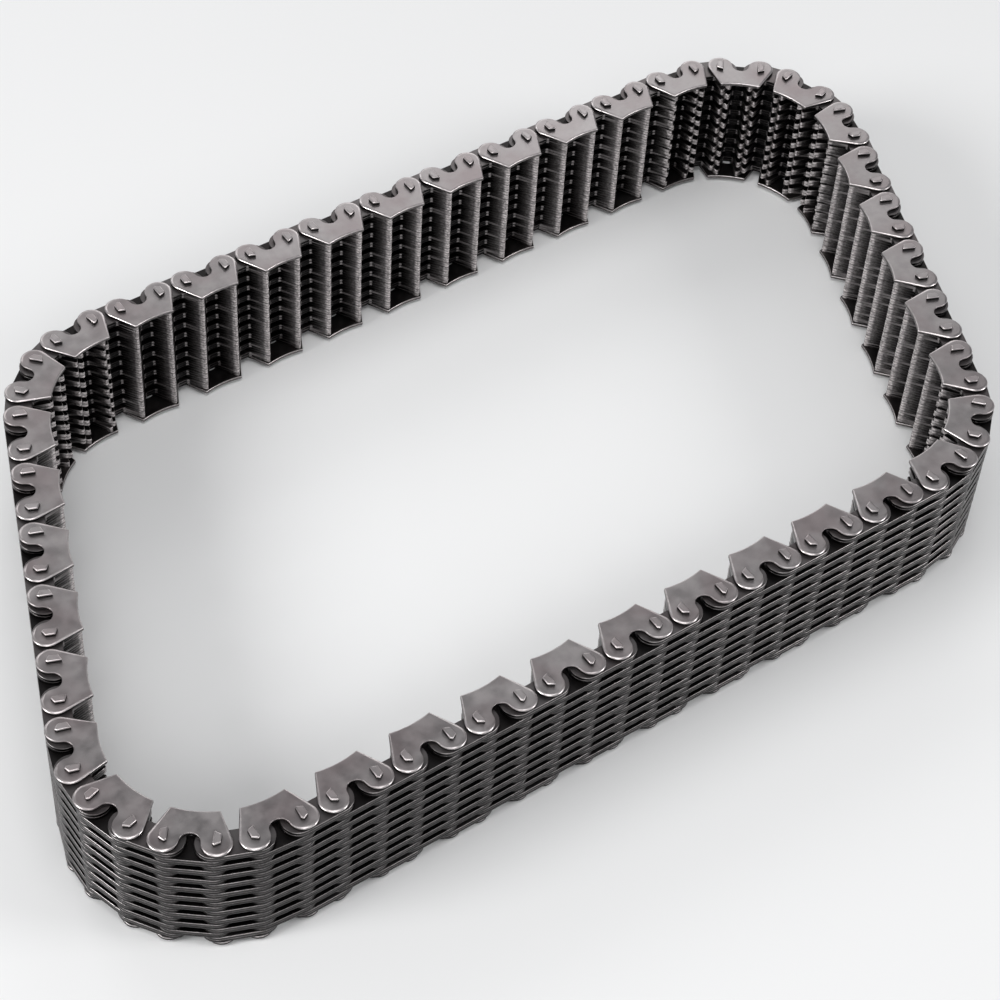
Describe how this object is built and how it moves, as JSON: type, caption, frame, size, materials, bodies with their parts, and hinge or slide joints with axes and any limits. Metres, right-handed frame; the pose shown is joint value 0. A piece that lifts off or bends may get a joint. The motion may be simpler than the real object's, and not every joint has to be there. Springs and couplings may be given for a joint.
{
  "type": "silent chain",
  "caption": "Endless wide silent chain with inverted-tooth link plates laced on rocker pins and guide plates on both sides.",
  "frame": {"origin": "centre of the loop, on the surface that the lower pin heads rest on", "axes": "+X along the two long runs, +Z across the chain's width and up, +Y across the loop"},
  "size_m": [0.2928, 0.1628, 0.0369],
  "materials": {
    "guide_plate_steel": "satin, lightly tumbled",
    "link_plate_steel": "satin, oil-darkened"
  },
  "bodies": {
    "inner_row_01": {"inner_row_01": "link_plate_steel"},
    "row_pair_02_03": {"row_pair_02_03": "guide_plate_steel"},
    "guide_row_04": {"guide_row_04": "guide_plate_steel"},
    "row_pair_05_06": {"row_pair_05_06": "guide_plate_steel"},
    "inner_row_07": {"inner_row_07": "link_plate_steel"},
    "row_pair_08_09": {"row_pair_08_09": "guide_plate_steel"},
    "guide_row_10": {"guide_row_10": "guide_plate_steel"},
    "row_pair_11_12": {"row_pair_11_12": "guide_plate_steel"},
    "inner_row_13": {"inner_row_13": "link_plate_steel"},
    "row_pair_14_15": {"row_pair_14_15": "guide_plate_steel"},
    "guide_row_16": {"guide_row_16": "guide_plate_steel"},
    "row_pair_17_18": {"row_pair_17_18": "guide_plate_steel"},
    "inner_row_19": {"inner_row_19": "link_plate_steel"},
    "guide_row_20": {"guide_row_20": "guide_plate_steel"},
    "inner_row_21": {"inner_row_21": "link_plate_steel"},
    "guide_row_22": {"guide_row_22": "guide_plate_steel"},
    "inner_row_23": {"inner_row_23": "link_plate_steel"},
    "guide_row_24": {"guide_row_24": "guide_plate_steel"},
    "row_pair_25_26": {"row_pair_25_26": "guide_plate_steel"},
    "row_pair_27_28": {"row_pair_27_28": "guide_plate_steel"},
    "row_pair_29_30": {"row_pair_29_30": "guide_plate_steel"},
    "row_pair_31_32": {"row_pair_31_32": "guide_plate_steel"},
    "inner_row_33": {"inner_row_33": "link_plate_steel"},
    "guide_row_34": {"guide_row_34": "guide_plate_steel"},
    "inner_row_35": {"inner_row_35": "link_plate_steel"},
    "guide_row_36": {"guide_row_36": "guide_plate_steel"},
    "inner_row_37": {"inner_row_37": "link_plate_steel"},
    "guide_row_38": {"guide_row_38": "guide_plate_steel"},
    "inner_row_39": {"inner_row_39": "link_plate_steel"},
    "guide_row_40": {"guide_row_40": "guide_plate_steel"},
    "inner_row_41": {"inner_row_41": "link_plate_steel"},
    "row_pair_42_43": {"row_pair_42_43": "guide_plate_steel"},
    "guide_row_44": {"guide_row_44": "guide_plate_steel"},
    "row_pair_45_46": {"row_pair_45_46": "guide_plate_steel"},
    "inner_row_47": {"inner_row_47": "link_plate_steel"},
    "row_pair_48_49": {"row_pair_48_49": "guide_plate_steel"},
    "guide_row_50": {"guide_row_50": "guide_plate_steel"},
    "row_pair_51_52": {"row_pair_51_52": "guide_plate_steel"},
    "inner_row_53": {"inner_row_53": "link_plate_steel"},
    "row_pair_54_55": {"row_pair_54_55": "guide_plate_steel"},
    "guide_row_56": {"guide_row_56": "guide_plate_steel"},
    "row_pair_57_58": {"row_pair_57_58": "guide_plate_steel"},
    "inner_row_59": {"inner_row_59": "link_plate_steel"},
    "guide_row_60": {"guide_row_60": "guide_plate_steel"},
    "inner_row_61": {"inner_row_61": "link_plate_steel"},
    "guide_row_62": {"guide_row_62": "guide_plate_steel"},
    "inner_row_63": {"inner_row_63": "link_plate_steel"},
    "guide_row_64": {"guide_row_64": "guide_plate_steel"},
    "row_pair_65_66": {"row_pair_65_66": "guide_plate_steel"},
    "row_pair_67_68": {"row_pair_67_68": "guide_plate_steel"},
    "row_pair_69_70": {"row_pair_69_70": "guide_plate_steel"},
    "row_pair_71_72": {"row_pair_71_72": "guide_plate_steel"},
    "inner_row_73": {"inner_row_73": "link_plate_steel"},
    "guide_row_74": {"guide_row_74": "guide_plate_steel"},
    "inner_row_75": {"inner_row_75": "link_plate_steel"},
    "guide_row_76": {"guide_row_76": "guide_plate_steel"},
    "inner_row_77": {"inner_row_77": "link_plate_steel"},
    "guide_row_78": {"guide_row_78": "guide_plate_steel"},
    "inner_row_79": {"inner_row_79": "link_plate_steel"},
    "guide_row_80": {"guide_row_80": "guide_plate_steel"}
  },
  "joints": [
    {"name": "pivot_10_11", "type": "hinge", "parent": "guide_row_10", "child": "row_pair_11_12", "pos_m": [-0.01291, -0.07712, 0], "axis": [0, 0, 1], "range_deg": [-1, 1]},
    {"name": "pivot_12_13", "type": "hinge", "parent": "row_pair_11_12", "child": "inner_row_13", "pos_m": [0.00614, -0.07712, 0], "axis": [0, 0, 1], "range_deg": [-1, 1]},
    {"name": "pivot_13_14", "type": "hinge", "parent": "inner_row_13", "child": "row_pair_14_15", "pos_m": [0.01566, -0.07712, 0], "axis": [0, 0, 1], "range_deg": [-1, 1]},
    {"name": "pivot_15_16", "type": "hinge", "parent": "row_pair_14_15", "child": "guide_row_16", "pos_m": [0.03471, -0.07712, 0], "axis": [0, 0, 1], "range_deg": [-1, 1]},
    {"name": "pivot_16_17", "type": "hinge", "parent": "guide_row_16", "child": "row_pair_17_18", "pos_m": [0.04424, -0.07712, 0], "axis": [0, 0, 1], "range_deg": [-1, 1]},
    {"name": "pivot_18_19", "type": "hinge", "parent": "row_pair_17_18", "child": "inner_row_19", "pos_m": [0.06329, -0.07712, 0], "axis": [0, 0, 1], "range_deg": [-1, 1]},
    {"name": "pivot_19_20", "type": "hinge", "parent": "inner_row_19", "child": "guide_row_20", "pos_m": [0.07281, -0.07712, 0], "axis": [0, 0, 1], "range_deg": [-6, 6]},
    {"name": "pivot_20_21", "type": "hinge", "parent": "guide_row_20", "child": "inner_row_21", "pos_m": [0.08224, -0.07575, 0], "axis": [0, 0, 1], "range_deg": [-11, 11]},
    {"name": "pivot_21_22", "type": "hinge", "parent": "inner_row_21", "child": "guide_row_22", "pos_m": [0.09085, -0.07168, 0], "axis": [0, 0, 1], "range_deg": [-11, 11]},
    {"name": "pivot_22_23", "type": "hinge", "parent": "guide_row_22", "child": "inner_row_23", "pos_m": [0.09789, -0.06527, 0], "axis": [0, 0, 1], "range_deg": [-11, 11]},
    {"name": "pivot_23_24", "type": "hinge", "parent": "inner_row_23", "child": "guide_row_24", "pos_m": [0.10276, -0.05708, 0], "axis": [0, 0, 1], "range_deg": [-7.5, 7.5]},
    {"name": "short_run_bow", "type": "hinge", "parent": "guide_row_24", "child": "row_pair_25_26", "pos_m": [0.10638, -0.04827, 0], "axis": [0, 0, 1], "range_deg": [-3, 3]},
    {"name": "pivot_26_27", "type": "hinge", "parent": "row_pair_25_26", "child": "row_pair_27_28", "pos_m": [0.11364, -0.03066, 0], "axis": [0, 0, 1], "range_deg": [-3, 3]},
    {"name": "pivot_28_29", "type": "hinge", "parent": "row_pair_27_28", "child": "row_pair_29_30", "pos_m": [0.1209, -0.01305, 0], "axis": [0, 0, 1], "range_deg": [-3, 3]},
    {"name": "pivot_30_31", "type": "hinge", "parent": "row_pair_29_30", "child": "row_pair_31_32", "pos_m": [0.12816, 0.00457, 0], "axis": [0, 0, 1], "range_deg": [-3, 3]},
    {"name": "pivot_32_33", "type": "hinge", "parent": "row_pair_31_32", "child": "inner_row_33", "pos_m": [0.13542, 0.02218, 0], "axis": [0, 0, 1], "range_deg": [-3, 3]},
    {"name": "pivot_33_34", "type": "hinge", "parent": "inner_row_33", "child": "guide_row_34", "pos_m": [0.13905, 0.03098, 0], "axis": [0, 0, 1], "range_deg": [-7.5, 7.5]},
    {"name": "pivot_34_35", "type": "hinge", "parent": "guide_row_34", "child": "inner_row_35", "pos_m": [0.14187, 0.04008, 0], "axis": [0, 0, 1], "range_deg": [-5.5, 5.5]},
    {"name": "pivot_35_36", "type": "hinge", "parent": "inner_row_35", "child": "guide_row_36", "pos_m": [0.1419, 0.04961, 0], "axis": [0, 0, 1], "range_deg": [-5.5, 5.5]},
    {"name": "pivot_36_37", "type": "hinge", "parent": "guide_row_36", "child": "inner_row_37", "pos_m": [0.13915, 0.05873, 0], "axis": [0, 0, 1], "range_deg": [-5.5, 5.5]},
    {"name": "pivot_37_38", "type": "hinge", "parent": "inner_row_37", "child": "guide_row_38", "pos_m": [0.13385, 0.06664, 0], "axis": [0, 0, 1], "range_deg": [-5.5, 5.5]},
    {"name": "pivot_38_39", "type": "hinge", "parent": "guide_row_38", "child": "inner_row_39", "pos_m": [0.12647, 0.07266, 0], "axis": [0, 0, 1], "range_deg": [-5.5, 5.5]},
    {"name": "pivot_39_40", "type": "hinge", "parent": "inner_row_39", "child": "guide_row_40", "pos_m": [0.11765, 0.07626, 0], "axis": [0, 0, 1], "range_deg": [-5.5, 5.5]},
    {"name": "pivot_40_41", "type": "hinge", "parent": "guide_row_40", "child": "inner_row_41", "pos_m": [0.10816, 0.07712, 0], "axis": [0, 0, 1], "range_deg": [-6, 6]},
    {"name": "pivot_41_42", "type": "hinge", "parent": "inner_row_41", "child": "row_pair_42_43", "pos_m": [0.09864, 0.07712, 0], "axis": [0, 0, 1], "range_deg": [-1, 1]},
    {"name": "pivot_43_44", "type": "hinge", "parent": "row_pair_42_43", "child": "guide_row_44", "pos_m": [0.07959, 0.07712, 0], "axis": [0, 0, 1], "range_deg": [-1, 1]},
    {"name": "pivot_44_45", "type": "hinge", "parent": "guide_row_44", "child": "row_pair_45_46", "pos_m": [0.07006, 0.07712, 0], "axis": [0, 0, 1], "range_deg": [-1, 1]},
    {"name": "pivot_46_47", "type": "hinge", "parent": "row_pair_45_46", "child": "inner_row_47", "pos_m": [0.05101, 0.07712, 0], "axis": [0, 0, 1], "range_deg": [-1, 1]},
    {"name": "pivot_47_48", "type": "hinge", "parent": "inner_row_47", "child": "row_pair_48_49", "pos_m": [0.04149, 0.07712, 0], "axis": [0, 0, 1], "range_deg": [-1, 1]},
    {"name": "long_run_bow", "type": "hinge", "parent": "guide_row_10", "child": "row_pair_08_09", "pos_m": [-0.02244, -0.07712, 0], "axis": [0, 0, -1], "range_deg": [-1, 1]},
    {"name": "pivot_07_08", "type": "hinge", "parent": "row_pair_08_09", "child": "inner_row_07", "pos_m": [-0.04149, -0.07712, 0], "axis": [0, 0, -1], "range_deg": [-1, 1]},
    {"name": "pivot_06_07", "type": "hinge", "parent": "inner_row_07", "child": "row_pair_05_06", "pos_m": [-0.05101, -0.07712, 0], "axis": [0, 0, -1], "range_deg": [-1, 1]},
    {"name": "pivot_04_05", "type": "hinge", "parent": "row_pair_05_06", "child": "guide_row_04", "pos_m": [-0.07006, -0.07712, 0], "axis": [0, 0, -1], "range_deg": [-1, 1]},
    {"name": "pivot_03_04", "type": "hinge", "parent": "guide_row_04", "child": "row_pair_02_03", "pos_m": [-0.07959, -0.07712, 0], "axis": [0, 0, -1], "range_deg": [-1, 1]},
    {"name": "pivot_01_02", "type": "hinge", "parent": "row_pair_02_03", "child": "inner_row_01", "pos_m": [-0.09864, -0.07712, 0], "axis": [0, 0, -1], "range_deg": [-1, 1]},
    {"name": "pivot_80_01", "type": "hinge", "parent": "inner_row_01", "child": "guide_row_80", "pos_m": [-0.10816, -0.07712, 0], "axis": [0, 0, -1], "range_deg": [-6, 6]},
    {"name": "corner_fold", "type": "hinge", "parent": "guide_row_80", "child": "inner_row_79", "pos_m": [-0.11765, -0.07626, 0], "axis": [0, 0, -1], "range_deg": [-5.5, 5.5]},
    {"name": "pivot_78_79", "type": "hinge", "parent": "inner_row_79", "child": "guide_row_78", "pos_m": [-0.12647, -0.07266, 0], "axis": [0, 0, -1], "range_deg": [-5.5, 5.5]},
    {"name": "pivot_77_78", "type": "hinge", "parent": "guide_row_78", "child": "inner_row_77", "pos_m": [-0.13385, -0.06664, 0], "axis": [0, 0, -1], "range_deg": [-5.5, 5.5]},
    {"name": "pivot_76_77", "type": "hinge", "parent": "inner_row_77", "child": "guide_row_76", "pos_m": [-0.13915, -0.05873, 0], "axis": [0, 0, -1], "range_deg": [-5.5, 5.5]},
    {"name": "pivot_75_76", "type": "hinge", "parent": "guide_row_76", "child": "inner_row_75", "pos_m": [-0.1419, -0.04961, 0], "axis": [0, 0, -1], "range_deg": [-5.5, 5.5]},
    {"name": "pivot_74_75", "type": "hinge", "parent": "inner_row_75", "child": "guide_row_74", "pos_m": [-0.14187, -0.04008, 0], "axis": [0, 0, -1], "range_deg": [-5.5, 5.5]},
    {"name": "pivot_73_74", "type": "hinge", "parent": "guide_row_74", "child": "inner_row_73", "pos_m": [-0.13905, -0.03098, 0], "axis": [0, 0, -1], "range_deg": [-7.5, 7.5]},
    {"name": "pivot_72_73", "type": "hinge", "parent": "inner_row_73", "child": "row_pair_71_72", "pos_m": [-0.13542, -0.02218, 0], "axis": [0, 0, -1], "range_deg": [-3, 3]},
    {"name": "pivot_70_71", "type": "hinge", "parent": "row_pair_71_72", "child": "row_pair_69_70", "pos_m": [-0.12816, -0.00457, 0], "axis": [0, 0, -1], "range_deg": [-3, 3]},
    {"name": "pivot_68_69", "type": "hinge", "parent": "row_pair_69_70", "child": "row_pair_67_68", "pos_m": [-0.1209, 0.01305, 0], "axis": [0, 0, -1], "range_deg": [-3, 3]},
    {"name": "pivot_66_67", "type": "hinge", "parent": "row_pair_67_68", "child": "row_pair_65_66", "pos_m": [-0.11364, 0.03066, 0], "axis": [0, 0, -1], "range_deg": [-3, 3]},
    {"name": "pivot_64_65", "type": "hinge", "parent": "row_pair_65_66", "child": "guide_row_64", "pos_m": [-0.10638, 0.04827, 0], "axis": [0, 0, -1], "range_deg": [-3, 3]},
    {"name": "pivot_63_64", "type": "hinge", "parent": "guide_row_64", "child": "inner_row_63", "pos_m": [-0.10276, 0.05708, 0], "axis": [0, 0, -1], "range_deg": [-7.5, 7.5]},
    {"name": "pivot_62_63", "type": "hinge", "parent": "inner_row_63", "child": "guide_row_62", "pos_m": [-0.09789, 0.06527, 0], "axis": [0, 0, -1], "range_deg": [-11, 11]},
    {"name": "pivot_61_62", "type": "hinge", "parent": "guide_row_62", "child": "inner_row_61", "pos_m": [-0.09085, 0.07168, 0], "axis": [0, 0, -1], "range_deg": [-11, 11]},
    {"name": "pivot_60_61", "type": "hinge", "parent": "inner_row_61", "child": "guide_row_60", "pos_m": [-0.08224, 0.07575, 0], "axis": [0, 0, -1], "range_deg": [-11, 11]},
    {"name": "pivot_59_60", "type": "hinge", "parent": "guide_row_60", "child": "inner_row_59", "pos_m": [-0.07281, 0.07712, 0], "axis": [0, 0, -1], "range_deg": [-6, 6]},
    {"name": "pivot_58_59", "type": "hinge", "parent": "inner_row_59", "child": "row_pair_57_58", "pos_m": [-0.06329, 0.07712, 0], "axis": [0, 0, -1], "range_deg": [-1, 1]},
    {"name": "pivot_56_57", "type": "hinge", "parent": "row_pair_57_58", "child": "guide_row_56", "pos_m": [-0.04424, 0.07712, 0], "axis": [0, 0, -1], "range_deg": [-1, 1]},
    {"name": "pivot_55_56", "type": "hinge", "parent": "guide_row_56", "child": "row_pair_54_55", "pos_m": [-0.03471, 0.07712, 0], "axis": [0, 0, -1], "range_deg": [-1, 1]},
    {"name": "pivot_53_54", "type": "hinge", "parent": "row_pair_54_55", "child": "inner_row_53", "pos_m": [-0.01566, 0.07712, 0], "axis": [0, 0, -1], "range_deg": [-1, 1]},
    {"name": "pivot_52_53", "type": "hinge", "parent": "inner_row_53", "child": "row_pair_51_52", "pos_m": [-0.00614, 0.07712, 0], "axis": [0, 0, -1], "range_deg": [-1, 1]},
    {"name": "pivot_50_51", "type": "hinge", "parent": "row_pair_51_52", "child": "guide_row_50", "pos_m": [0.01291, 0.07712, 0], "axis": [0, 0, -1], "range_deg": [-1, 1]}
  ],
  "couplings": [
    {"joint": "pivot_10_11", "follows": "long_run_bow", "ratio": 1},
    {"joint": "pivot_12_13", "follows": "long_run_bow", "ratio": 1},
    {"joint": "pivot_13_14", "follows": "long_run_bow", "ratio": 1},
    {"joint": "pivot_15_16", "follows": "long_run_bow", "ratio": 1},
    {"joint": "pivot_16_17", "follows": "long_run_bow", "ratio": 1},
    {"joint": "pivot_18_19", "follows": "long_run_bow", "ratio": 1},
    {"joint": "pivot_19_20", "follows": "long_run_bow", "ratio": -6},
    {"joint": "pivot_20_21", "follows": "corner_fold", "ratio": -2},
    {"joint": "pivot_21_22", "follows": "corner_fold", "ratio": -2},
    {"joint": "pivot_22_23", "follows": "corner_fold", "ratio": -2},
    {"joint": "pivot_23_24", "follows": "short_run_bow", "ratio": -2.5},
    {"joint": "pivot_26_27", "follows": "short_run_bow", "ratio": 1},
    {"joint": "pivot_28_29", "follows": "short_run_bow", "ratio": 1},
    {"joint": "pivot_30_31", "follows": "short_run_bow", "ratio": 1},
    {"joint": "pivot_32_33", "follows": "short_run_bow", "ratio": 1},
    {"joint": "pivot_33_34", "follows": "short_run_bow", "ratio": -2.5},
    {"joint": "pivot_34_35", "follows": "corner_fold", "ratio": 1},
    {"joint": "pivot_35_36", "follows": "corner_fold", "ratio": 1},
    {"joint": "pivot_36_37", "follows": "corner_fold", "ratio": 1},
    {"joint": "pivot_37_38", "follows": "corner_fold", "ratio": 1},
    {"joint": "pivot_38_39", "follows": "corner_fold", "ratio": 1},
    {"joint": "pivot_39_40", "follows": "corner_fold", "ratio": 1},
    {"joint": "pivot_40_41", "follows": "long_run_bow", "ratio": -6},
    {"joint": "pivot_41_42", "follows": "long_run_bow", "ratio": 1},
    {"joint": "pivot_43_44", "follows": "long_run_bow", "ratio": 1},
    {"joint": "pivot_44_45", "follows": "long_run_bow", "ratio": 1},
    {"joint": "pivot_46_47", "follows": "long_run_bow", "ratio": 1},
    {"joint": "pivot_47_48", "follows": "long_run_bow", "ratio": 1},
    {"joint": "pivot_07_08", "follows": "long_run_bow", "ratio": 1},
    {"joint": "pivot_06_07", "follows": "long_run_bow", "ratio": 1},
    {"joint": "pivot_04_05", "follows": "long_run_bow", "ratio": 1},
    {"joint": "pivot_03_04", "follows": "long_run_bow", "ratio": 1},
    {"joint": "pivot_01_02", "follows": "long_run_bow", "ratio": 1},
    {"joint": "pivot_80_01", "follows": "long_run_bow", "ratio": -6},
    {"joint": "pivot_78_79", "follows": "corner_fold", "ratio": 1},
    {"joint": "pivot_77_78", "follows": "corner_fold", "ratio": 1},
    {"joint": "pivot_76_77", "follows": "corner_fold", "ratio": 1},
    {"joint": "pivot_75_76", "follows": "corner_fold", "ratio": 1},
    {"joint": "pivot_74_75", "follows": "corner_fold", "ratio": 1},
    {"joint": "pivot_73_74", "follows": "short_run_bow", "ratio": -2.5},
    {"joint": "pivot_72_73", "follows": "short_run_bow", "ratio": 1},
    {"joint": "pivot_70_71", "follows": "short_run_bow", "ratio": 1},
    {"joint": "pivot_68_69", "follows": "short_run_bow", "ratio": 1},
    {"joint": "pivot_66_67", "follows": "short_run_bow", "ratio": 1},
    {"joint": "pivot_64_65", "follows": "short_run_bow", "ratio": 1},
    {"joint": "pivot_63_64", "follows": "short_run_bow", "ratio": -2.5},
    {"joint": "pivot_62_63", "follows": "corner_fold", "ratio": -2},
    {"joint": "pivot_61_62", "follows": "corner_fold", "ratio": -2},
    {"joint": "pivot_60_61", "follows": "corner_fold", "ratio": -2},
    {"joint": "pivot_59_60", "follows": "long_run_bow", "ratio": -6},
    {"joint": "pivot_58_59", "follows": "long_run_bow", "ratio": 1},
    {"joint": "pivot_56_57", "follows": "long_run_bow", "ratio": 1},
    {"joint": "pivot_55_56", "follows": "long_run_bow", "ratio": 1},
    {"joint": "pivot_53_54", "follows": "long_run_bow", "ratio": 1},
    {"joint": "pivot_52_53", "follows": "long_run_bow", "ratio": 1},
    {"joint": "pivot_50_51", "follows": "long_run_bow", "ratio": 1}
  ]
}
